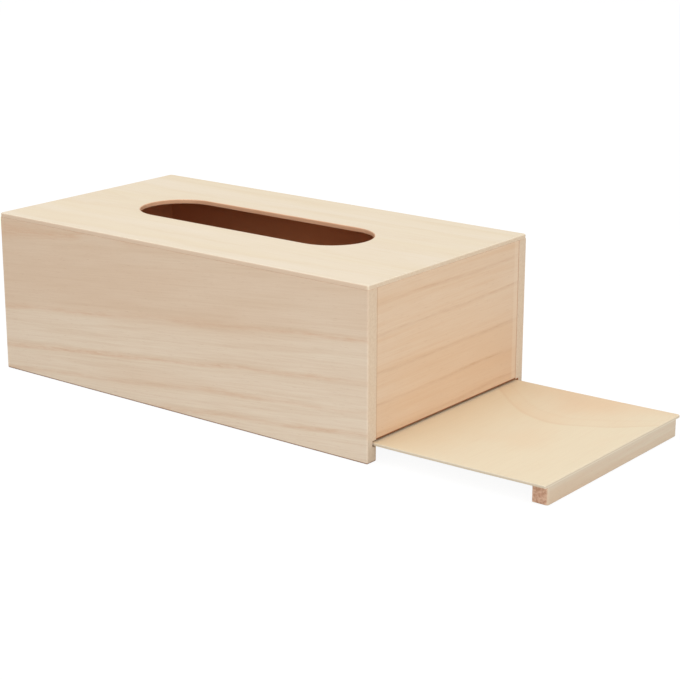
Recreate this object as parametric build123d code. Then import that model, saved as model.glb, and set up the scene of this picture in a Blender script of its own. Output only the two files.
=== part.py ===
from build123d import *
import os

# A plain unfinished wooden tissue box. A thin top panel with a round-ended slot is glued
# on four walls. The floor is a plywood plate that slides out at one short end, along
# grooves in the two long walls, and a batten under its outer end is the pull.
#
# Millimetres, +Z up, +X towards the end where the plate comes out, -Y towards the front
# wall. The origin is on the table, at the centre of the whole footprint, with the plate
# pulled out as it is stored.

# --- the box ---------------------------------------------------------------------------
BOX_LENGTH = 260.0
BOX_WIDTH = 140.0
WALL_HEIGHT = 88.5
WALL_THICKNESS = 7.0
TOP_THICKNESS = 2.5

# --- the tissue slot, a little off the middle of the top --------------------------------
SLOT_LENGTH = 155.0
SLOT_WIDTH = 46.0
SLOT_OFFSET_X = -4.0
SLOT_OFFSET_Y = 2.0

# --- the sliding plate and its pull -----------------------------------------------------
PLATE_THICKNESS = 1.6
PLATE_HEIGHT = 8.6
PLATE_BOW = 0.9
PLATE_BOW_START = 10.0
PLATE_PLAY_ABOVE = 0.1
PLATE_PLAY_BELOW = 0.7
PLATE_SIDE_CLEARANCE = 0.9
PLATE_END_CLEARANCE = 0.5
PULLED_OUT = 98.9
BATTEN_WIDTH = 8.6
BATTEN_SIDE_CLEARANCE = 0.9
BATTEN_FLOOR_CLEARANCE = 0.2

# --- the grooves that carry the plate ---------------------------------------------------
GROOVE_DEPTH = 3.0

# --- sanded edges -----------------------------------------------------------------------
TOP_EDGE_RADIUS = 0.8
TOP_CORNER_RADIUS = 1.6
SLOT_EDGE_RADIUS = 0.5
WALL_CORNER_RADIUS = 0.8
FOOT_EDGE_RADIUS = 0.8
JOINT_EDGE_RADIUS = 0.25
PLATE_END_RADIUS = 1.0
PLATE_EDGE_RADIUS = 0.4
BATTEN_EDGE_RADIUS = 0.5
BATTEN_CORNER_RADIUS = 1.5

# --- sizes that follow from those above -------------------------------------------------
BOX_CENTRE_X = -PULLED_OUT / 2
CLOSED_END_X = BOX_CENTRE_X - BOX_LENGTH / 2
DRAWER_END_X = BOX_CENTRE_X + BOX_LENGTH / 2
INNER_WIDTH = BOX_WIDTH - 2 * WALL_THICKNESS

GROOVE_HEIGHT = PLATE_THICKNESS + PLATE_BOW + PLATE_PLAY_ABOVE + PLATE_PLAY_BELOW
GROOVE_FLOOR_Z = PLATE_HEIGHT - PLATE_PLAY_BELOW
GROOVE_TOP_Z = GROOVE_FLOOR_Z + GROOVE_HEIGHT

PLATE_WIDTH = INNER_WIDTH + 2 * (GROOVE_DEPTH - PLATE_SIDE_CLEARANCE)
PLATE_LENGTH = BOX_LENGTH - WALL_THICKNESS + GROOVE_DEPTH - PLATE_END_CLEARANCE
PLATE_END_X = DRAWER_END_X + PULLED_OUT
PLATE_INNER_X = PLATE_END_X - PLATE_LENGTH
BOW_START_X = DRAWER_END_X - PLATE_BOW_START

BATTEN_LENGTH = INNER_WIDTH - 2 * BATTEN_SIDE_CLEARANCE
BATTEN_TOP_Z = PLATE_HEIGHT + PLATE_BOW + PLATE_THICKNESS / 4
BATTEN_HEIGHT = BATTEN_TOP_Z - BATTEN_FLOOR_CLEARANCE

LOW = (Align.CENTER, Align.CENTER, Align.MIN)


def make_top_panel():
    """Panel with the tissue slot, rounded over along its upper edges."""
    panel = Box(BOX_LENGTH, BOX_WIDTH, TOP_THICKNESS, align=LOW)
    panel = fillet(panel.edges().filter_by(Axis.Z), TOP_CORNER_RADIUS)
    panel = fillet(panel.edges().group_by(Axis.Z)[-1], TOP_EDGE_RADIUS)
    panel = fillet(panel.edges().group_by(Axis.Z)[0], JOINT_EDGE_RADIUS)
    slot = extrude(SlotOverall(SLOT_LENGTH, SLOT_WIDTH), TOP_THICKNESS)
    panel -= Pos(SLOT_OFFSET_X, SLOT_OFFSET_Y, 0) * slot
    rim = [e for e in panel.edges().group_by(Axis.Z)[-1] if is_slot_edge(e)]
    rim += [e for e in panel.edges().group_by(Axis.Z)[0] if is_slot_edge(e)]
    panel = fillet(rim, SLOT_EDGE_RADIUS)
    return Pos(BOX_CENTRE_X, 0, WALL_HEIGHT) * panel


def is_slot_edge(edge):
    """Whether an edge of the top panel lies on the slot and not on the outline."""
    middle = edge.center()
    inside_x = abs(middle.X - SLOT_OFFSET_X) < SLOT_LENGTH / 2 + SLOT_EDGE_RADIUS
    inside_y = abs(middle.Y - SLOT_OFFSET_Y) < SLOT_WIDTH / 2 + SLOT_EDGE_RADIUS
    return inside_x and inside_y


def make_long_wall(side):
    """Full-length wall with the plate's groove along its inner face; side is -1 or +1."""
    wall = Box(BOX_LENGTH, WALL_THICKNESS, WALL_HEIGHT, align=LOW)
    outer = wall.faces().sort_by(Axis.Y)[-1]
    wall = fillet(outer.edges().filter_by(Axis.Z), WALL_CORNER_RADIUS)
    wall = fillet(wall.edges().group_by(Axis.Z)[0], FOOT_EDGE_RADIUS)
    wall = fillet(wall.faces().sort_by(Axis.Y)[-1].edges().group_by(Axis.Z)[-1], JOINT_EDGE_RADIUS)
    groove = Box(BOX_LENGTH, GROOVE_DEPTH, GROOVE_HEIGHT, align=(Align.CENTER, Align.MIN, Align.MIN))
    wall -= Pos(0, -WALL_THICKNESS / 2, GROOVE_FLOOR_Z) * groove
    wall = Pos(0, (INNER_WIDTH + WALL_THICKNESS) / 2, 0) * wall
    if side < 0:
        wall = mirror(wall, about=Plane.XZ)
    return Pos(BOX_CENTRE_X, 0, 0) * wall


def make_closed_end_wall():
    """Short wall between the long ones, grooved for the inner end of the plate."""
    wall = Box(WALL_THICKNESS, INNER_WIDTH, WALL_HEIGHT, align=(Align.MIN, Align.CENTER, Align.MIN))
    groove = Box(GROOVE_DEPTH, INNER_WIDTH, GROOVE_HEIGHT, align=(Align.MAX, Align.CENTER, Align.MIN))
    wall -= Pos(WALL_THICKNESS, 0, GROOVE_FLOOR_Z) * groove
    wall = fillet(wall.faces().sort_by(Axis.X)[0].edges(), JOINT_EDGE_RADIUS)
    return Pos(CLOSED_END_X, 0, 0) * wall


def make_drawer_end_wall():
    """Short wall that ends just above the grooves, so that the plate passes under it."""
    height = WALL_HEIGHT - GROOVE_TOP_Z
    wall = Box(WALL_THICKNESS, INNER_WIDTH, height, align=(Align.MAX, Align.CENTER, Align.MIN))
    wall = fillet(wall.faces().sort_by(Axis.X)[-1].edges(), JOINT_EDGE_RADIUS)
    return Pos(DRAWER_END_X, 0, GROOVE_TOP_Z) * wall


def plate_line(height):
    """One long side of the plate's section: level in the grooves, then bowed upwards."""
    middle_x = (BOW_START_X + PLATE_END_X) / 2
    inner = (PLATE_INNER_X, height)
    start = (BOW_START_X, height)
    middle = (middle_x, height + PLATE_BOW / 4)
    end = (PLATE_END_X, height + PLATE_BOW)
    return [Line(inner, start), ThreePointArc(start, middle, end)]


def make_base_plate():
    """Thin plywood plate, bowed a little towards its outer end and rounded over there."""
    under = plate_line(PLATE_HEIGHT)
    upper = plate_line(PLATE_HEIGHT + PLATE_THICKNESS)
    inner_end = Line(under[0] @ 0, upper[0] @ 0)
    outer_end = Line(under[1] @ 1, upper[1] @ 1)
    section = make_face(Curve() + under + upper + [inner_end, outer_end])
    plate = extrude(Plane.XZ * section, PLATE_WIDTH / 2, both=True)
    end = plate.faces().sort_by(Axis.X)[-1]
    plate = fillet(end.edges().group_by(Axis.Z)[-1], PLATE_END_RADIUS)
    return fillet(edges_along_sides(plate), PLATE_EDGE_RADIUS)


def edges_along_sides(plate):
    """The long edges on the two sides of the plate."""
    sides = plate.faces().sort_by(Axis.Y)
    edges = sides[0].edges() + sides[-1].edges()
    return edges.filter_by(lambda edge: edge.length > PULLED_OUT / 2)


def make_pull_batten():
    """Strip glued under the plate's outer end, cut to its bow; it passes between the walls."""
    batten = Box(BATTEN_WIDTH, BATTEN_LENGTH, BATTEN_HEIGHT, align=(Align.MAX, Align.CENTER, Align.MIN))
    outer = batten.faces().sort_by(Axis.X)[-1]
    batten = fillet(outer.edges().filter_by(Axis.Z), BATTEN_CORNER_RADIUS)
    batten = fillet(batten.edges().group_by(Axis.Z)[0], BATTEN_EDGE_RADIUS)
    return Pos(PLATE_END_X, 0, BATTEN_FLOOR_CLEARANCE) * batten - make_base_plate()


pieces = {
    "top_panel": make_top_panel(),
    "front_wall": make_long_wall(-1),
    "back_wall": make_long_wall(1),
    "closed_end_wall": make_closed_end_wall(),
    "drawer_end_wall": make_drawer_end_wall(),
    "base_plate": make_base_plate(),
    "pull_batten": make_pull_batten(),
}

os.makedirs("parts", exist_ok=True)
for name, piece in pieces.items():
    export_step(piece, f"parts/{name}.step")
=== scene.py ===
# %% [markdown]
# # A plain wooden tissue box with a sliding base
#
# The box is bare wood, so almost everything the eye reads is grain: growth lines, fibres,
# the paler and warmer stretches of a board and the look of cut ends. The shapes come ready
# from the frame. This script gives each board its own piece of wood, and then lights and
# photographs the box as a shop picture would.

# %% Load the frame
import math

import bpy
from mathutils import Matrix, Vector


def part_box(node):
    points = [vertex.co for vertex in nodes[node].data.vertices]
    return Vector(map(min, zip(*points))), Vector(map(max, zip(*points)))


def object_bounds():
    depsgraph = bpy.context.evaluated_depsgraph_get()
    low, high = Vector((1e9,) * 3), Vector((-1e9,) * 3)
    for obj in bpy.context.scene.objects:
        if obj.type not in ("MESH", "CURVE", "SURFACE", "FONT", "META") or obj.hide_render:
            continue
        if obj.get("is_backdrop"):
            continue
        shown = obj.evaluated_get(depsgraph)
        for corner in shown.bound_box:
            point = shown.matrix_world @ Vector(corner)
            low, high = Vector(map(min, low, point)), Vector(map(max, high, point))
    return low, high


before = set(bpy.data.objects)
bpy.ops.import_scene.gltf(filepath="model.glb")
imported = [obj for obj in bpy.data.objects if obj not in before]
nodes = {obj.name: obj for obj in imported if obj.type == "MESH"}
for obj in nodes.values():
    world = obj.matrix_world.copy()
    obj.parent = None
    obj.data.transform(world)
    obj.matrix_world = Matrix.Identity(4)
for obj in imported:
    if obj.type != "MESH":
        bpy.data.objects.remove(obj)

cad_low, cad_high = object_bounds()
print("size of the frame in mm:", [round(1000 * side, 1) for side in cad_high - cad_low])

# %% [markdown]
# ## Millimetres and colours
#
# Blender works in metres and in linear light. Wood is easier to think of in millimetres
# and in the sRGB hex values that one reads off a picture, so a number and a small helper
# turn one into the other.

# %% Units and colours
MM = 0.001


def linear(hex_colour):
    """An sRGB hex colour as linear red, green, blue and full alpha."""
    channels = [int(hex_colour[i:i + 2], 16) / 255 for i in (1, 3, 5)]
    return [c / 12.92 if c <= 0.04045 else ((c + 0.055) / 1.055) ** 2.4 for c in channels] + [1.0]


print("bare paulownia in linear light:", [round(c, 3) for c in linear("#F0E1C6")])

# %% [markdown]
# ## One way to add a node
#
# A material is a tree of small nodes. This helper adds one, sets it up and links its
# inputs in a single call, so that a recipe reads from top to bottom like a list of steps.
# An input is named by its label, or by its number where several share a label: a colour
# mix has its share in input 0, the colour below in 6, the colour above in 7, and its
# result in output 2.

# %% The node helper
def add(tree, kind, inputs=None, **settings):
    """Adds a node; each input is given a value or the output that feeds it."""
    node = tree.nodes.new(kind)
    for name, value in settings.items():
        setattr(node, name, value)
    for key, value in (inputs or {}).items():
        if isinstance(value, bpy.types.NodeSocket):
            tree.links.new(value, node.inputs[key])
        else:
            node.inputs[key].default_value = value
    return node


# %% [markdown]
# ## Where a point lies in its board
#
# Real grain belongs to the tree and not to the face, so the pattern is worked out in the
# board's own space: how far along the grain, how high across the face, and how deep under
# it. Then the growth rings run on round the edges, as they do on a sawn board, and they
# still show faintly in most cut ends. Object coordinates are used because they are real
# lengths and stay with the wood when the base slides. A board names its own three axes.

# %% Board space
X, Y, Z = 0, 1, 2


def board_space(tree, axes, centre, tilt):
    """Outputs the place in millimetres along, across and under the middle of a face."""
    place = add(tree, "ShaderNodeTexCoord")
    parts = add(tree, "ShaderNodeSeparateXYZ", {0: place.outputs["Object"]})
    local = add(tree, "ShaderNodeCombineXYZ", {i: parts.outputs[axes[i]] for i in range(3)})
    millimetres = add(tree, "ShaderNodeVectorMath", {0: local.outputs[0], 1: (1 / MM,) * 3},
                      operation="MULTIPLY")
    centred = add(tree, "ShaderNodeVectorMath", {0: millimetres.outputs[0], 1: centre},
                  operation="SUBTRACT")
    turned = add(tree, "ShaderNodeMapping",
                 {"Vector": centred.outputs[0], "Rotation": (0, 0, math.radians(-tilt))})
    return turned.outputs[0]


# %% [markdown]
# ## Noise that follows the grain
#
# Everything in wood is drawn out along the grain. Dividing each direction by the real
# length of its patches turns a plain noise into streaks, fibres or pores of a known size.
# A noise seldom leaves the middle of its range, so each use says between which two values
# it is read. Every board has a seed, and each noise adds a step of its own to it, so that
# no two of them run alike.

# %% Stretched noise
WHOLE_NOISE = (0.2, 0.8)
MOST_NOISE = (0.3, 0.7)
MIDDLE_NOISE = (0.35, 0.65)


def stretched_noise(tree, space, length, height, seed, detail=3.0, roughness=0.55):
    """Noise whose patches are so many millimetres long and high."""
    size = (1 / length, 1 / height, 1 / height)
    scaled = add(tree, "ShaderNodeVectorMath", {0: space, 1: size}, operation="MULTIPLY")
    shifted = add(tree, "ShaderNodeVectorMath", {0: scaled.outputs[0], 1: (seed, seed, seed)},
                  operation="ADD")
    noise = add(tree, "ShaderNodeTexNoise",
                {"Vector": shifted.outputs[0], "Scale": 1.0, "Detail": detail,
                 "Roughness": roughness})
    return noise.outputs["Fac"]


# %% [markdown]
# ## Growth rings
#
# A ring is a cylinder round the heart of the tree. Seen on a face, it is a line. Each
# board lists the heights at which its lines cross the middle of its face, and where the
# heart of the tree lay. The lines of the two walls that the picture shows were measured
# there, and the others are likely ones. What a ramp needs is the distance from the heart,
# with a little sway, because no tree is quite round.

# %% Distance from the heart of the tree
SWAY = 2.0
SWAY_LENGTH = 120
SWAY_HEIGHT = 40


def ring_distance(tree, space, heart, seed):
    """Outputs the distance in millimetres from the heart, measured across the grain."""
    sway = stretched_noise(tree, space, SWAY_LENGTH, SWAY_HEIGHT, seed, detail=2.0)
    sway_mm = add(tree, "ShaderNodeMapRange",
                  {"Value": sway, "From Min": WHOLE_NOISE[0], "From Max": WHOLE_NOISE[1],
                   "To Min": -SWAY, "To Max": SWAY})
    offset = add(tree, "ShaderNodeVectorMath", {0: space, 1: (0, heart[0], heart[1])},
                 operation="SUBTRACT")
    across = add(tree, "ShaderNodeVectorMath", {0: offset.outputs[0], 1: (0, 1, 1)},
                 operation="MULTIPLY")
    distance = add(tree, "ShaderNodeVectorMath", {0: across.outputs[0]}, operation="LENGTH")
    swayed = add(tree, "ShaderNodeMath", {0: distance.outputs["Value"], 1: sway_mm.outputs[0]},
                 operation="ADD")
    return swayed.outputs[0]


# %% [markdown]
# The ramp reads that distance. Near a ring the wood darkens softly on the side that grew
# first and ends sharply on the other. Between two rings the wood also has a tone of its
# own, because some years give warmer wood than others, and a second ramp holds those tones.

# %% Lines and years
LINE_SOFT_SIDE = 1.7
LINE_SHARP_SIDE = 1.1
YEAR_BLEND = 2.5


def ring_radii(lines, heart):
    """The radius of each ring that crosses the face at one of the given heights."""
    return [math.hypot(height - heart[0], heart[1]) for height in lines]


def ramp_over(tree, distance, stops):
    """A grey ramp over a distance: pairs of a distance and a value from 0 to 1."""
    stops = sorted(stops)
    nearest, farthest = stops[0][0] - 1, stops[-1][0] + 1
    share = add(tree, "ShaderNodeMapRange",
                {"Value": distance, "From Min": nearest, "From Max": farthest})
    ramp = add(tree, "ShaderNodeValToRGB", {"Fac": share.outputs[0]})
    ends = ramp.color_ramp.elements
    ends[0].color = (stops[0][1],) * 3 + (1,)
    ends[1].color = (stops[-1][1],) * 3 + (1,)
    for at, value in stops:
        stop = ends.new((at - nearest) / (farthest - nearest))
        stop.color = (value, value, value, 1)
    return ramp.outputs["Color"]


def growth_lines(tree, distance, radii):
    """Outputs 1 on a growth line and 0 between the lines."""
    profile = ((-LINE_SOFT_SIDE, 0), (0, 1), (LINE_SHARP_SIDE, 0))
    return ramp_over(tree, distance, [(r + step, value) for r in radii for step, value in profile])


def growth_years(tree, distance, radii, warmth):
    """Outputs how warm the wood is between the lines: one value more than there are lines."""
    order = sorted(range(len(radii)), key=lambda i: radii[i])
    outward = radii[0] < radii[-1]
    years = list(warmth) if outward else list(reversed(warmth))
    stops = []
    for place, i in enumerate(order):
        stops += [(radii[i] - YEAR_BLEND, years[place]), (radii[i] + YEAR_BLEND, years[place + 1])]
    return ramp_over(tree, distance, stops)


# %% [markdown]
# ## The wood itself
#
# Paulownia is a very light, pale wood, sold bare and finely sanded, so it has no gloss:
# only the fibres break the light. Its ground drifts slowly between a pale and a warm tone,
# the years shift it towards one or the other, and the growth lines lie over that. The
# lines are not drawn through: a long noise fades them and a short one breaks them into
# dashes, as the saw does where it crosses the fibres.

# %% Ground and growth
SWAY_STEP = 3
DRIFT_LENGTH = 150
DRIFT_HEIGHT = 22
DRIFT_REACH = 0.3
FADE_STEP = 11
FADE_LENGTH = 55
FADE_HEIGHT = 12
FADED_LINE = 0.4
DASH_STEP = 17
DASH_LENGTH = 9
DASH_HEIGHT = 0.9
DASH_GAP = 0.3


def ground_and_growth(tree, space, board):
    """The tones of the years and the growth lines, without the fine fibres."""
    tones, seed, heart = board["tones"], board["seed"], board["heart"]
    radii = ring_radii(board["lines"], heart)
    distance = ring_distance(tree, space, heart, seed + SWAY_STEP)
    years = growth_years(tree, distance, radii, board["years"])
    drift = stretched_noise(tree, space, DRIFT_LENGTH, DRIFT_HEIGHT, seed, detail=2.0)
    drift_share = add(tree, "ShaderNodeMapRange",
                      {"Value": drift, "From Min": MOST_NOISE[0], "From Max": MOST_NOISE[1],
                       "To Min": -DRIFT_REACH, "To Max": DRIFT_REACH})
    warmth = add(tree, "ShaderNodeMath", {0: years, 1: drift_share.outputs[0]},
                 operation="ADD", use_clamp=True)
    ground = add(tree, "ShaderNodeMix",
                 {0: warmth.outputs[0], 6: linear(tones["pale"]), 7: linear(tones["warm"])},
                 data_type="RGBA")
    rings = growth_lines(tree, distance, radii)
    fade = stretched_noise(tree, space, FADE_LENGTH, FADE_HEIGHT, seed + FADE_STEP, detail=1.0)
    fade_share = add(tree, "ShaderNodeMapRange",
                     {"Value": fade, "From Min": MIDDLE_NOISE[0], "From Max": MIDDLE_NOISE[1],
                      "To Min": FADED_LINE * board["line_strength"],
                      "To Max": board["line_strength"]})
    dashes = stretched_noise(tree, space, DASH_LENGTH, DASH_HEIGHT, seed + DASH_STEP)
    dash_share = add(tree, "ShaderNodeMapRange",
                     {"Value": dashes, "From Min": MIDDLE_NOISE[0], "From Max": MIDDLE_NOISE[1],
                      "To Min": DASH_GAP, "To Max": 1.0})
    faded = add(tree, "ShaderNodeMath", {0: rings, 1: fade_share.outputs[0]},
                operation="MULTIPLY")
    broken = add(tree, "ShaderNodeMath", {0: faded.outputs[0], 1: dash_share.outputs[0]},
                 operation="MULTIPLY")
    grown = add(tree, "ShaderNodeMix",
                {0: broken.outputs[0], 6: ground.outputs[2], 7: linear(tones["line"])},
                data_type="RGBA")
    return grown.outputs[2]


# %% [markdown]
# Over the growth lie the fibres and the open pores that the sander cuts into short dark
# dashes. Both are about 0.3 mm wide on the real wood, less than a pixel here, so they are
# drawn as wide as they need to be to show. Wider and fainter streaks, a little darker than
# the ground, run along with them.

# %% Fibres and pores
FIBRE_STEP = 23
FIBRE_LENGTH = 24
FIBRE_WIDTH = 0.8
FIBRE_NOISE = (0.42, 0.75)
PORE_STEP = 37
PORE_LENGTH = 5
PORE_WIDTH = 0.5
PORE_NOISE = (0.66, 0.74)
STREAK_STEP = 29
STREAK_LENGTH = 110
STREAK_WIDTH = 3.2
STREAK_NOISE = (0.5, 0.72)


def fibres_and_pores(tree, space, below, board):
    """Lays streaks, fibres and pores over a colour; outputs the colour and the relief."""
    tones, seed = board["tones"], board["seed"]
    streaks = stretched_noise(tree, space, STREAK_LENGTH, STREAK_WIDTH, seed + STREAK_STEP,
                              detail=2.0)
    streak_share = add(tree, "ShaderNodeMapRange",
                       {"Value": streaks, "From Min": STREAK_NOISE[0], "From Max": STREAK_NOISE[1],
                        "To Max": board["streak_strength"]})
    streaked = add(tree, "ShaderNodeMix",
                   {0: streak_share.outputs[0], 6: below, 7: linear(tones["streak"])},
                   data_type="RGBA")
    fibres = stretched_noise(tree, space, FIBRE_LENGTH, FIBRE_WIDTH, seed + FIBRE_STEP,
                             detail=4.0, roughness=0.65)
    fibre_share = add(tree, "ShaderNodeMapRange",
                      {"Value": fibres, "From Min": FIBRE_NOISE[0], "From Max": FIBRE_NOISE[1],
                       "To Max": board["fibre_strength"]})
    fibred = add(tree, "ShaderNodeMix",
                 {0: fibre_share.outputs[0], 6: streaked.outputs[2], 7: linear(tones["fibre"])},
                 data_type="RGBA")
    pores = stretched_noise(tree, space, PORE_LENGTH, PORE_WIDTH, seed + PORE_STEP,
                            detail=1.0)
    pore_share = add(tree, "ShaderNodeMapRange",
                     {"Value": pores, "From Min": PORE_NOISE[0], "From Max": PORE_NOISE[1],
                      "To Max": board["pore_strength"]})
    pored = add(tree, "ShaderNodeMix",
                {0: pore_share.outputs[0], 6: fibred.outputs[2], 7: linear(tones["pore"])},
                data_type="RGBA")
    relief = add(tree, "ShaderNodeMath", {0: fibres, 1: pore_share.outputs[0]},
                 operation="SUBTRACT")
    return pored.outputs[2], relief.outputs[0]


# %% [markdown]
# ## The other sides of a board
#
# Where a board is cut across, the open pores swallow light, the colour turns duller and
# the growth hardly shows. The inner faces are painted deeper and redder: painted shade for
# the inside of the box. The long edges of the top have the tone of the wall under them. The
# lowest millimetre of a wall is painted brown: painted shade along the foot and in the gap
# under the end wall. The slot was cut with a jigsaw, it seems, which scorches the wood a
# little. Each of these is found by where the point lies or by which way the face looks, so
# that no face has to be picked by hand.

# %% Which way a face looks
def facing_share(tree, axis, low, high):
    """Outputs how squarely a face looks along an axis: 0 below one share, 1 above the other."""
    facing = add(tree, "ShaderNodeTexCoord")
    parts = add(tree, "ShaderNodeSeparateXYZ", {0: facing.outputs["Normal"]})
    along = add(tree, "ShaderNodeMath", {0: parts.outputs[axis]}, operation="ABSOLUTE")
    share = add(tree, "ShaderNodeMapRange",
                {"Value": along.outputs[0], "From Min": low, "From Max": high})
    return share.outputs[0]


# %% Cut ends
END_SPECKLE = 1.3
END_FACING = (0.75, 0.97)


def cut_ends(tree, below, board):
    """Turns the colour towards the tone of end grain where a face looks along the grain."""
    along = facing_share(tree, board["axes"][0], *END_FACING)
    share = add(tree, "ShaderNodeMath", {0: along, 1: board["end_strength"]},
                operation="MULTIPLY")
    speckle = add(tree, "ShaderNodeTexNoise",
                  {"Vector": add(tree, "ShaderNodeTexCoord").outputs["Object"],
                   "Scale": 1 / (END_SPECKLE * MM), "Detail": 2.0})
    speckle_share = add(tree, "ShaderNodeMapRange",
                        {"Value": speckle.outputs["Fac"], "From Min": MIDDLE_NOISE[0],
                         "From Max": MIDDLE_NOISE[1]})
    end_tone = add(tree, "ShaderNodeMix",
                   {0: speckle_share.outputs[0], 6: linear(board["tones"]["end"]),
                    7: linear(board["tones"]["end_pore"])}, data_type="RGBA")
    ended = add(tree, "ShaderNodeMix",
                {0: share.outputs[0], 6: below, 7: end_tone.outputs[2]}, data_type="RGBA")
    return ended.outputs[2]


# %% Painted shade on the inner faces
OUTER_SKIN = 1.0
INNER_FACING = (0.6, 0.9)
# Painted shade for the inside of the box: a deeper, redder tone than the outer faces.
INNER_SHADE_TONE = "#D68F62"


def painted_inner_shade(tree, space, below, deep_axis):
    """Painted shade: a deeper, redder tone on faces that look along the board's depth but lie
    under its skin.
    """
    parts = add(tree, "ShaderNodeSeparateXYZ", {0: space})
    depth = add(tree, "ShaderNodeMath", {0: parts.outputs[2]}, operation="ABSOLUTE")
    under = add(tree, "ShaderNodeMath", {0: depth.outputs[0], 1: OUTER_SKIN},
                operation="GREATER_THAN")
    share = add(tree, "ShaderNodeMath",
                {0: under.outputs[0], 1: facing_share(tree, deep_axis, *INNER_FACING)},
                operation="MULTIPLY")
    result = add(tree, "ShaderNodeMix",
                 {0: share.outputs[0], 6: below, 7: linear(INNER_SHADE_TONE)}, data_type="RGBA")
    return result.outputs[2]


# %% Long edges of the top board
EDGE_FACING = (0.7, 0.95)


def long_edges(tree, below, tone):
    """The warmer tone on the narrow faces along the grain of the top board."""
    share = facing_share(tree, Y, *EDGE_FACING)
    result = add(tree, "ShaderNodeMix", {0: share, 6: below, 7: linear(tone)}, data_type="RGBA")
    return result.outputs[2]


# %% Painted shade on the lower edges of the walls
FOOT_SHADE_BAND = 0.9
# Painted shade along the foot of the walls and in the gap under the drawer end wall.
FOOT_SHADE_TONE = "#8A4C1E"


def painted_foot_shade(tree, space, below, half_height):
    """Painted shade: a brown tone along the lowest millimetre of a wall, for the shadow at its
    foot.
    """
    parts = add(tree, "ShaderNodeSeparateXYZ", {0: space})
    share = add(tree, "ShaderNodeMapRange",
                {"Value": parts.outputs[1], "From Min": -half_height + FOOT_SHADE_BAND,
                 "From Max": -half_height + FOOT_SHADE_BAND / 2})
    result = add(tree, "ShaderNodeMix",
                 {0: share.outputs[0], 6: below, 7: linear(FOOT_SHADE_TONE)}, data_type="RGBA")
    return result.outputs[2]


# %% The sawn slot
SLOT_STRAIGHT = 109.0
SLOT_RADIUS = 23.0
SLOT_MIDDLE = (-4.0, 2.0)
SAWN_RIM = (0.1, 0.7)
SAWN_TONE = "#F5C5A0"
SAWN_DARK_TONE = "#E6AE86"
SAW_MARK_LENGTH = 14
SAW_MARK_HEIGHT = 4
SAW_MARK_SEED = 71.0


def sawn_slot(tree, space, below):
    """The scorched tone on the wall of the slot, and a trace of it on the rim."""
    centred = add(tree, "ShaderNodeVectorMath", {0: space, 1: SLOT_MIDDLE + (0,)},
                  operation="SUBTRACT")
    parts = add(tree, "ShaderNodeSeparateXYZ", {0: centred.outputs[0]})
    length = add(tree, "ShaderNodeMath", {0: parts.outputs[0]}, operation="ABSOLUTE")
    past = add(tree, "ShaderNodeMath", {0: length.outputs[0], 1: SLOT_STRAIGHT / 2},
               operation="SUBTRACT")
    beyond = add(tree, "ShaderNodeMath", {0: past.outputs[0], 1: 0.0}, operation="MAXIMUM")
    corner = add(tree, "ShaderNodeCombineXYZ", {0: beyond.outputs[0], 1: parts.outputs[1]})
    reach = add(tree, "ShaderNodeVectorMath", {0: corner.outputs[0]}, operation="LENGTH")
    near = add(tree, "ShaderNodeMapRange",
               {"Value": reach.outputs["Value"], "From Min": SLOT_RADIUS + SAWN_RIM[0],
                "From Max": SLOT_RADIUS + SAWN_RIM[1], "To Min": 1.0, "To Max": 0.0})
    saw_marks = stretched_noise(tree, space, SAW_MARK_LENGTH, SAW_MARK_HEIGHT, SAW_MARK_SEED)
    sawn = add(tree, "ShaderNodeMix",
               {0: saw_marks, 6: linear(SAWN_TONE), 7: linear(SAWN_DARK_TONE)},
               data_type="RGBA")
    result = add(tree, "ShaderNodeMix",
                 {0: near.outputs[0], 6: below, 7: sawn.outputs[2]}, data_type="RGBA")
    return result.outputs[2]


# %% [markdown]
# ## Glue lines
#
# The end wall stands between the long walls. Its two joints show as thin brown lines of
# glue. At the back there is a pale band beside the joint too, as if the glue had been
# wiped off there with a damp cloth. The distance along the board finds both, and the
# hidden end wall gets the same.

# %% Glue lines
GLUE_LINE = 0.7
GLUE_TONE = "#B58A64"
GLUE_STRENGTH = 0.45
WIPED_BAND = 4.2
WIPED_BLUR = 0.6
WIPED_TONE = "#F3DCC2"
WIPED_STRENGTH = 0.35


def glue_lines(tree, space, below, half_length):
    """A brown line at both ends of a board and a wiped band beside the far one."""
    parts = add(tree, "ShaderNodeSeparateXYZ", {0: space})
    along = parts.outputs[0]
    wiped_share = add(tree, "ShaderNodeMapRange",
                      {"Value": along, "From Min": half_length - WIPED_BAND - WIPED_BLUR,
                       "From Max": half_length - WIPED_BAND + WIPED_BLUR,
                       "To Max": WIPED_STRENGTH})
    wiped = add(tree, "ShaderNodeMix",
                {0: wiped_share.outputs[0], 6: below, 7: linear(WIPED_TONE)}, data_type="RGBA")
    from_middle = add(tree, "ShaderNodeMath", {0: along}, operation="ABSOLUTE")
    line_share = add(tree, "ShaderNodeMapRange",
                     {"Value": from_middle.outputs[0], "From Min": half_length - GLUE_LINE,
                      "From Max": half_length - GLUE_LINE / 2, "To Max": GLUE_STRENGTH})
    glued = add(tree, "ShaderNodeMix",
                {0: line_share.outputs[0], 6: wiped.outputs[2], 7: linear(GLUE_TONE)},
                data_type="RGBA")
    return glued.outputs[2]


# %% [markdown]
# ## One material for each board
#
# The recipe lays the colours on top of each other: growth, fibres, cut ends, long edges,
# glue, painted shade on the inner faces, slot and painted shade at the foot. A later one
# hides what lies under it. The roughness of sanded bare wood is about 0.7, a little less
# where dense fibres shine, and the relief of the fibres is less than a tenth of a
# millimetre deep.

# %% Bare wood
BARE_WOOD_SHINE = 0.3
WOOD_ROUGHNESS = (0.78, 0.64)
RELIEF_DEPTH = 0.08
RELIEF_STRENGTH = 0.35


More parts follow.
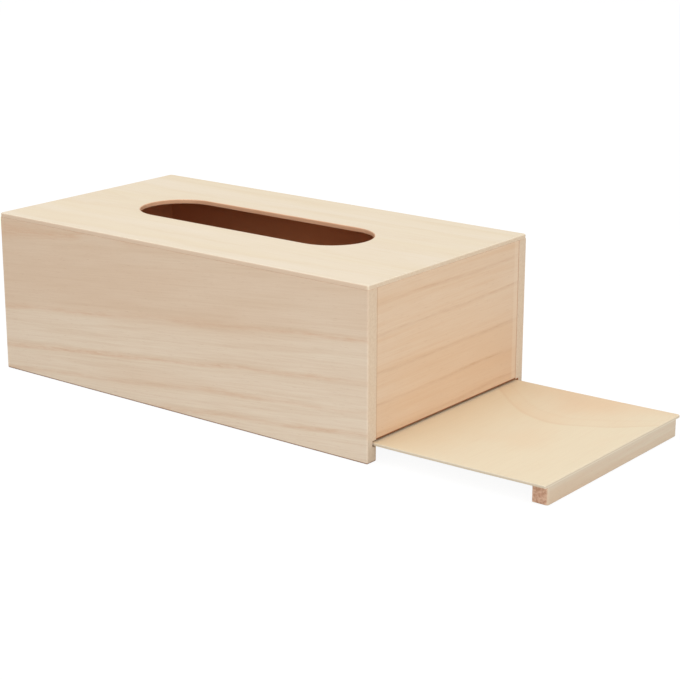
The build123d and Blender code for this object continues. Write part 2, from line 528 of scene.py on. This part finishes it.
def bare_wood(name, board):
    """Sanded bare wood for one board."""
    material = bpy.data.materials.new(name)
    material.use_nodes = True
    tree = material.node_tree
    shader = tree.nodes["Principled BSDF"]
    space = board_space(tree, board["axes"], board["centre"], board["tilt"])
    straight = board_space(tree, board["axes"], board["centre"], 0.0)
    colour = ground_and_growth(tree, space, board)
    colour, relief = fibres_and_pores(tree, space, colour, board)
    colour = cut_ends(tree, colour, board)
    if board.get("edge_tone"):
        colour = long_edges(tree, colour, board["edge_tone"])
    if board.get("glued_half_length"):
        colour = glue_lines(tree, straight, colour, board["glued_half_length"])
    # Painted shade: a deeper, redder tone on the inner faces of the walls.
    if board["has_painted_inner_shade"]:
        colour = painted_inner_shade(tree, straight, colour, board["axes"][2])
    if board.get("slot"):
        colour = sawn_slot(tree, straight, colour)
    # Painted shade: a brown band along the lowest millimetre of each wall.
    if board["stands_upright"]:
        colour = painted_foot_shade(tree, straight, colour, board["half_height"])
    tree.links.new(colour, shader.inputs["Base Color"])
    roughness = add(tree, "ShaderNodeMapRange",
                    {"Value": relief, "From Min": MOST_NOISE[0], "From Max": MOST_NOISE[1],
                     "To Min": WOOD_ROUGHNESS[0], "To Max": WOOD_ROUGHNESS[1]})
    tree.links.new(roughness.outputs[0], shader.inputs["Roughness"])
    bump = add(tree, "ShaderNodeBump",
               {"Strength": RELIEF_STRENGTH, "Distance": RELIEF_DEPTH * MM, "Height": relief})
    tree.links.new(bump.outputs[0], shader.inputs["Normal"])
    shader.inputs["Specular IOR Level"].default_value = BARE_WOOD_SHINE
    return material


# %% [markdown]
# ## Which piece of wood each board is
#
# The front wall was cut so that its grain climbs towards the drawer end: growth lines
# cross it at about six degrees, wide apart at the top and closer together near the foot,
# and the wood is pinker above and paler below. The drawer end wall has level lines and
# warms towards its foot. The top is so pale that its grain barely shows. The boards that
# the picture hides get wood of the same kind with lines of their own. Lines are heights in
# millimetres over the middle of the face, and what most boards share is listed once.

# %% The middle of a face
def face_middle(node, axes, outward):
    """The middle of a node's outer face in millimetres, in the board's own order of axes."""
    low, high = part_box(node)
    middle = (low + high) / 2
    middle[axes[2]] = high[axes[2]] if outward > 0 else low[axes[2]]
    return tuple(middle[axis] / MM for axis in axes)


# %% The tones of the boards
WALL_TONES = {"pale": "#F1DFC8", "warm": "#E7CDB2", "line": "#DBAF8A", "streak": "#DDBFA0",
              "fibre": "#D8B797", "pore": "#BF9470", "end": "#E8D2B8", "end_pore": "#E0C8AC"}
END_TONES = {"pale": "#EBD1B5", "warm": "#E6C3A0", "line": "#CFA27C", "streak": "#E2BC96",
             "fibre": "#DDB48C", "pore": "#BF9470", "end": "#E8D2B8", "end_pore": "#E0C8AC"}
TOP_TONES = {"pale": "#F7E9D4", "warm": "#F4E3C6", "line": "#E9D0AA", "streak": "#EFDCBC",
             "fibre": "#EAD4B0", "pore": "#D4B48C", "end": "#E8D2B8", "end_pore": "#E0C8AC"}
BATTEN_TONES = {"pale": "#E5D7C0", "warm": "#E1C4A6", "line": "#D9B596", "streak": "#DFC7AA",
                "fibre": "#D8BC9E", "pore": "#B98C64", "end": "#E6BFA2", "end_pore": "#C6967A"}

# %% The boards
boards = {
    "front_wall": dict(axes=(X, Z, Y), outward=-1, tilt=5.8, tones=WALL_TONES, seed=2.0,
                       lines=(49, 7, -17, -31, -42), years=(1.0, 0.9, 0.35, 0.25, 0.1, 0.0),
                       heart=(64, 100)),
    "back_wall": dict(axes=(X, Z, Y), outward=1, tilt=-2.5, tones=WALL_TONES, seed=41.0,
                      lines=(30, 12, -3, -16, -28, -38), years=(0.2, 0.5, 0.8, 0.4, 0.2, 0.5, 0.9),
                      heart=(-90, 70)),
    "drawer_end_wall": dict(axes=(Y, Z, X), outward=1, tilt=0.4, tones=END_TONES, seed=63.0,
                            lines=(31.3, 15.8, -4.7, -21, -35.7),
                            years=(0.1, 0.1, 0.25, 0.3, 0.7, 1.0), heart=(-150, 60),
                            line_strength=0.6, glued_half_length=63),
    "closed_end_wall": dict(axes=(Y, Z, X), outward=-1, tilt=-1.5, tones=END_TONES, seed=87.0,
                            lines=(34, 19, 2, -12, -27), years=(0.5, 0.2, 0.1, 0.4, 0.6, 0.3),
                            heart=(160, 50), line_strength=0.6, glued_half_length=63),
    "top_panel": dict(axes=(X, Y, Z), outward=1, tilt=0.8, tones=TOP_TONES, seed=15.0,
                      lines=(58, 31, -27, -44, -60), years=(0.7, 0.3, 0.2, 0.5, 0.3, 0.6),
                      heart=(-10, 220), line_strength=0.35, fibre_strength=0.2,
                      pore_strength=0.1, edge_tone=WALL_TONES["warm"], slot=True,
                      stands_upright=False),
    "pull_batten": dict(axes=(Y, Z, X), outward=1, tilt=0.0, tones=BATTEN_TONES, seed=29.0,
                        lines=(2.5, -1.5), years=(0.0, 0.3, 0.6), heart=(-40, 20),
                        line_strength=0.35, end_strength=1.0, has_painted_inner_shade=False,
                        stands_upright=False),
}
# Most boards get painted shade on their inner faces and along their foot.
usual = dict(line_strength=0.75, fibre_strength=0.3, pore_strength=0.2, streak_strength=0.35,
             end_strength=0.85, has_painted_inner_shade=True, stands_upright=True)

for node, own in boards.items():
    board = {**usual, **own}
    board["centre"] = face_middle(node, board["axes"], board["outward"])
    low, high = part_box(node)
    board["half_height"] = (high.z - low.z) / 2 / MM
    wood = bare_wood("paulownia_bare_sanded_" + node, board)
    nodes[node].data.materials.clear()
    nodes[node].data.materials.append(wood)
    print(node, "wears", wood.name)

# %% [markdown]
# ## The plywood plate
#
# The base is thin plywood. Its face is peeled off the log like a sheet of paper, so the
# rings spread into broad soft tongues and not into lines. One tongue shows: a parabola
# whose tip points to the front. Behind it the wood is a little darker and pinker, before
# it paler, and one fainter line follows inside it. Beside the box the face is painted
# warmer: painted warm bounce light and shade from the box.

# %% The figure of the plywood
TONGUE_TIP = (50.5, 16.0)
TONGUE_CURVE = 0.0125
TONGUE_SWAY = 3.0
TONGUE_SWAY_LENGTH = 60
TONGUE_SWAY_HEIGHT = 40
TONGUE_SEED = 31.0


def tongue_height(tree, space):
    """Outputs how many millimetres a point lies behind the outline of the tongue."""
    from_tip = add(tree, "ShaderNodeVectorMath",
                   {0: space, 1: (TONGUE_TIP[1], TONGUE_TIP[0], 0)}, operation="SUBTRACT")
    parts = add(tree, "ShaderNodeSeparateXYZ", {0: from_tip.outputs[0]})
    square = add(tree, "ShaderNodeMath", {0: parts.outputs[1], 1: parts.outputs[1]},
                 operation="MULTIPLY")
    arch = add(tree, "ShaderNodeMath", {0: square.outputs[0], 1: TONGUE_CURVE},
               operation="MULTIPLY")
    behind = add(tree, "ShaderNodeMath", {0: parts.outputs[0], 1: arch.outputs[0]},
                 operation="SUBTRACT")
    sway = stretched_noise(tree, space, TONGUE_SWAY_LENGTH, TONGUE_SWAY_HEIGHT, TONGUE_SEED,
                           detail=1.0)
    sway_mm = add(tree, "ShaderNodeMapRange",
                  {"Value": sway, "From Min": WHOLE_NOISE[0], "From Max": WHOLE_NOISE[1],
                   "To Min": -TONGUE_SWAY, "To Max": TONGUE_SWAY})
    swayed = add(tree, "ShaderNodeMath", {0: behind.outputs[0], 1: sway_mm.outputs[0]},
                 operation="ADD")
    return swayed.outputs[0]


# %% [markdown]
# The edge shows the layers of the plywood. The plate is bowed a little upwards on its way
# out of the box, so the depth of a layer is measured from the bowed face.

# %% Height over the bowed face
PLATE_BOW = 0.9
BOW_START = -10.0
BOW_LENGTH = 108.9


def height_over_face(tree, space):
    """Outputs the height in millimetres over the bowed face: negative inside the plate."""
    parts = add(tree, "ShaderNodeSeparateXYZ", {0: space})
    share = add(tree, "ShaderNodeMapRange",
                {"Value": parts.outputs[1], "From Min": BOW_START,
                 "From Max": BOW_START + BOW_LENGTH})
    square = add(tree, "ShaderNodeMath", {0: share.outputs[0], 1: share.outputs[0]},
                 operation="MULTIPLY")
    face = add(tree, "ShaderNodeMapRange",
               {"Value": square.outputs[0], "To Min": -PLATE_BOW, "To Max": 0.0})
    height = add(tree, "ShaderNodeMath", {0: parts.outputs[2], 1: face.outputs[0]},
                 operation="SUBTRACT")
    return height.outputs[0]


# %% [markdown]
# The tones lie on top of each other as on the boards: a pale and a pinker ground, the
# painted warm bounce light and shade beside the box, and the outline of the tongue. Each
# ramp is a list of pairs: a distance in millimetres, and how strongly the tone shows there.

# %% Ground and figure of the plywood
PLY_PALE = "#F4E4C6"
PLY_PINK = "#F3D7B4"
# The warm tone is painted bounce light and shade from the box on the plate beside it.
PLY_BOUNCE_TONE = "#F8CF97"
PLY_LINE = "#E3BC90"
PINK_INSIDE = [(-3.0, 0.0), (2.0, 0.45), (14.0, 0.35), (24.0, 0.6), (40.0, 0.9)]
PAINTED_BOUNCE_BY_THE_BOX = [(-60.0, 0.0), (0.0, 0.2), (14.0, 0.14), (40.0, 0.0)]
TONGUE_OUTLINE = [(-2.0, 0.0), (0.0, 0.22), (1.8, 0.0), (9.0, 0.0), (11.0, 0.08), (13.0, 0.0)]
CLOUD_LENGTH = 60
CLOUD_HEIGHT = 34
CLOUD_REACH = 0.3
CLOUD_SEED = 5.0


def plywood_figure(tree, space):
    """The cloudy ground of the peeled face, painted warm bounce light and shade beside the box,
    and the tongue on it.
    """
    behind = tongue_height(tree, space)
    inside = ramp_over(tree, behind, PINK_INSIDE)
    clouds = stretched_noise(tree, space, CLOUD_LENGTH, CLOUD_HEIGHT, CLOUD_SEED)
    clouds_share = add(tree, "ShaderNodeMapRange",
                       {"Value": clouds, "From Min": MOST_NOISE[0], "From Max": MOST_NOISE[1],
                        "To Min": -CLOUD_REACH, "To Max": CLOUD_REACH})
    warmth = add(tree, "ShaderNodeMath", {0: inside, 1: clouds_share.outputs[0]},
                 operation="ADD", use_clamp=True)
    ground = add(tree, "ShaderNodeMix",
                 {0: warmth.outputs[0], 6: linear(PLY_PALE), 7: linear(PLY_PINK)},
                 data_type="RGBA")
    place = add(tree, "ShaderNodeSeparateXYZ", {0: space})
    # Painted warm bounce light and shade from the box, strongest at the box's end.
    painted_bounce_zone = ramp_over(tree, place.outputs[1], PAINTED_BOUNCE_BY_THE_BOX)
    bounce_painted = add(tree, "ShaderNodeMix",
                 {0: painted_bounce_zone, 6: ground.outputs[2], 7: linear(PLY_BOUNCE_TONE)}, data_type="RGBA")
    outline = ramp_over(tree, behind, TONGUE_OUTLINE)
    lined = add(tree, "ShaderNodeMix",
                {0: outline, 6: bounce_painted.outputs[2], 7: linear(PLY_LINE)}, data_type="RGBA")
    return lined.outputs[2]


# %% Fibres of the plywood
PLY_FIBRE = "#DDB88A"
PLY_FIBRE_LENGTH = 20
PLY_FIBRE_WIDTH = 0.8
PLY_FIBRE_NOISE = (0.45, 0.8)
PLY_FIBRE_STRENGTH = 0.12
PLY_FIBRE_SEED = 9.0


def plywood_fibres(tree, space, below):
    """Lays fine fibres over a colour; outputs the colour and the relief."""
    fibres = stretched_noise(tree, space, PLY_FIBRE_LENGTH, PLY_FIBRE_WIDTH, PLY_FIBRE_SEED,
                             detail=4.0)
    fibre_share = add(tree, "ShaderNodeMapRange",
                      {"Value": fibres, "From Min": PLY_FIBRE_NOISE[0],
                       "From Max": PLY_FIBRE_NOISE[1], "To Max": PLY_FIBRE_STRENGTH})
    fibred = add(tree, "ShaderNodeMix",
                 {0: fibre_share.outputs[0], 6: below, 7: linear(PLY_FIBRE)},
                 data_type="RGBA")
    return fibred.outputs[2], fibres


# %% Layers on the edge of the plywood
PLY_EDGE = "#EDE0CA"
PLY_CORE = "#E2D1B7"
MIDDLE_LAYER = [(-1.2, 0.0), (-1.05, 1.0), (-0.6, 1.0), (-0.45, 0.0)]
FACE_FACING = (0.3, 0.8)


def plywood_layers(tree, space, face):
    """The colour of the face where it looks up or down, and the layers elsewhere."""
    layers = ramp_over(tree, height_over_face(tree, space), MIDDLE_LAYER)
    edge = add(tree, "ShaderNodeMix",
               {0: layers, 6: linear(PLY_EDGE), 7: linear(PLY_CORE)}, data_type="RGBA")
    layered = add(tree, "ShaderNodeMix",
                  {0: facing_share(tree, Z, *FACE_FACING), 6: edge.outputs[2], 7: face},
                  data_type="RGBA")
    return layered.outputs[2]


# %% Plywood
PLY_ROUGHNESS = (0.7, 0.58)
PLY_RELIEF_DEPTH = 0.05
PLY_RELIEF_STRENGTH = 0.3


def peeled_plywood(name, centre):
    """Thin sanded plywood with a broad tongue of figure and its layers on the edge."""
    material = bpy.data.materials.new(name)
    material.use_nodes = True
    tree = material.node_tree
    shader = tree.nodes["Principled BSDF"]
    space = board_space(tree, (Y, X, Z), centre, 0.0)
    colour = plywood_figure(tree, space)
    colour, relief = plywood_fibres(tree, space, colour)
    colour = plywood_layers(tree, space, colour)
    tree.links.new(colour, shader.inputs["Base Color"])
    roughness = add(tree, "ShaderNodeMapRange",
                    {"Value": relief, "From Min": MOST_NOISE[0], "From Max": MOST_NOISE[1],
                     "To Min": PLY_ROUGHNESS[0], "To Max": PLY_ROUGHNESS[1]})
    tree.links.new(roughness.outputs[0], shader.inputs["Roughness"])
    bump = add(tree, "ShaderNodeBump",
               {"Strength": PLY_RELIEF_STRENGTH, "Distance": PLY_RELIEF_DEPTH * MM,
                "Height": relief})
    tree.links.new(bump.outputs[0], shader.inputs["Normal"])
    shader.inputs["Specular IOR Level"].default_value = BARE_WOOD_SHINE
    return material


# %% Dress the plate
box_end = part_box("drawer_end_wall")[1].x / MM
plate_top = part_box("base_plate")[1].z / MM
plywood = peeled_plywood("plywood_peeled_face_sanded", (0.0, box_end, plate_top))
nodes["base_plate"].data.materials.clear()
nodes["base_plate"].data.materials.append(plywood)
print("base_plate wears", plywood.name)

# %% [markdown]
# ## Floor and light
#
# The picture is a cut-out on white. The floor is pale for the light that bounces off it,
# and white for the camera, with only a trace of the box's shadow. A white sky lights all
# sides evenly. One broad lamp overhead makes the top brighter than the walls, and a second
# one at the side fills the two walls that the camera sees. From below the floor is clear,
# so that the underside can be looked at too.

# %% White floor
FLOOR_HALF_SIDE = 3.0
FLOOR_GAP = 0.2
FLOOR_BOUNCE = "#D8D8D8"
FLOOR_GLOW = 0.93
SHADOW_TRACE = "#606060"


def white_floor():
    """A wide plane just under the box, clear when seen from below."""
    mesh = bpy.data.meshes.new("floor")
    s = FLOOR_HALF_SIDE
    mesh.from_pydata([(-s, -s, 0), (s, -s, 0), (s, s, 0), (-s, s, 0)], [], [(0, 1, 2, 3)])
    floor = bpy.data.objects.new("floor", mesh)
    bpy.context.scene.collection.objects.link(floor)
    floor.location.z = cad_low.z - FLOOR_GAP * MM
    material = bpy.data.materials.new("paper_white_matt")
    material.use_nodes = True
    tree = material.node_tree
    tree.nodes.clear()
    bounce = add(tree, "ShaderNodeBsdfDiffuse", {"Color": linear(FLOOR_BOUNCE)})
    glow = add(tree, "ShaderNodeEmission", {"Color": (1, 1, 1, 1), "Strength": FLOOR_GLOW})
    trace = add(tree, "ShaderNodeBsdfDiffuse", {"Color": linear(SHADOW_TRACE)})
    seen = add(tree, "ShaderNodeAddShader", {0: glow.outputs[0], 1: trace.outputs[0]})
    ray = add(tree, "ShaderNodeLightPath")
    chosen = add(tree, "ShaderNodeMixShader",
                 {0: ray.outputs["Is Camera Ray"], 1: bounce.outputs[0], 2: seen.outputs[0]})
    side = add(tree, "ShaderNodeNewGeometry")
    clear = add(tree, "ShaderNodeBsdfTransparent")
    one_sided = add(tree, "ShaderNodeMixShader",
                    {0: side.outputs["Backfacing"], 1: chosen.outputs[0], 2: clear.outputs[0]})
    add(tree, "ShaderNodeOutputMaterial", {"Surface": one_sided.outputs[0]})
    mesh.materials.append(material)
    floor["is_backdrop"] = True


# %% White sky
def white_sky(strength):
    """Even light from all round, white to the camera."""
    world = bpy.data.worlds.new("white_sky")
    world.use_nodes = True
    bpy.context.scene.world = world
    tree = world.node_tree
    tree.nodes.clear()
    lights = add(tree, "ShaderNodeBackground", {"Color": (1, 1, 1, 1), "Strength": strength})
    seen = add(tree, "ShaderNodeBackground", {"Color": (1, 1, 1, 1), "Strength": 1.0})
    ray = add(tree, "ShaderNodeLightPath")
    chosen = add(tree, "ShaderNodeMixShader",
                 {0: ray.outputs["Is Camera Ray"], 1: lights.outputs[0], 2: seen.outputs[0]})
    add(tree, "ShaderNodeOutputWorld", {"Surface": chosen.outputs[0]})


# %% Lamps
def lamp(name, place, aim, side, power):
    """A square lamp that points at a place; lengths are in metres and power in watts."""
    data = bpy.data.lights.new(name, "AREA")
    data.size = side
    data.energy = power
    light = bpy.data.objects.new(name, data)
    bpy.context.scene.collection.objects.link(light)
    light.location = place
    light.rotation_euler = (Vector(aim) - Vector(place)).to_track_quat("-Z", "Y").to_euler()


# %% Light the box
SKY_STRENGTH = 0.56
MIDDLE_OF_SCENE = (0, 0, 0.05)

white_floor()
white_sky(SKY_STRENGTH)
lamp("overhead", place=(-0.3, -0.2, 1.5), aim=MIDDLE_OF_SCENE, side=1.6, power=9.5)
lamp("side_fill", place=(1.3, -0.9, 0.6), aim=MIDDLE_OF_SCENE, side=1.2, power=9)

# %% [markdown]
# ## The camera
#
# The lens was worked out from the straight edges of the box in the picture: a long lens,
# a good metre away, a little above the box and turned 38 degrees to its long side. It
# looks at the point behind the box where the middle of the picture falls.

# %% Camera
FOCAL_PIXELS = 1820.75
IMAGE_PIXELS = 680
SENSOR = 36.0
AZIMUTH = math.radians(38.08)
ELEVATION = math.radians(16.46)
ROLL = math.radians(0.10)
DISTANCE = 1078.27 * MM
TARGET_BEHIND = 74.04 * MM
TARGET_HEIGHT = 6.83 * MM

box_low, box_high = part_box("top_panel")
box_middle_x = (box_low.x + box_high.x) / 2
target = Vector((box_middle_x, TARGET_BEHIND, TARGET_HEIGHT))

back = Vector((math.sin(AZIMUTH) * math.cos(ELEVATION), -math.cos(AZIMUTH) * math.cos(ELEVATION),
               math.sin(ELEVATION)))
camera_data = bpy.data.cameras.new("camera")
camera_data.sensor_width = SENSOR
camera_data.lens = FOCAL_PIXELS / IMAGE_PIXELS * SENSOR
camera = bpy.data.objects.new("camera", camera_data)
bpy.context.scene.collection.objects.link(camera)
camera.location = target + back * DISTANCE
level = back.to_track_quat("Z", "Y")
camera.rotation_euler = level.to_euler()
camera.rotation_euler.rotate_axis("Z", ROLL)
bpy.context.scene.camera = camera
bpy.context.scene.view_settings.view_transform = "Standard"
print("lens in mm:", round(camera_data.lens, 1))

# %% [markdown]
# ## Size of the dressed box
#
# The bounds of the dressed box are worked out again, as those of the frame were at the start.

# %% Size of the dressed box
low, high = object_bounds()
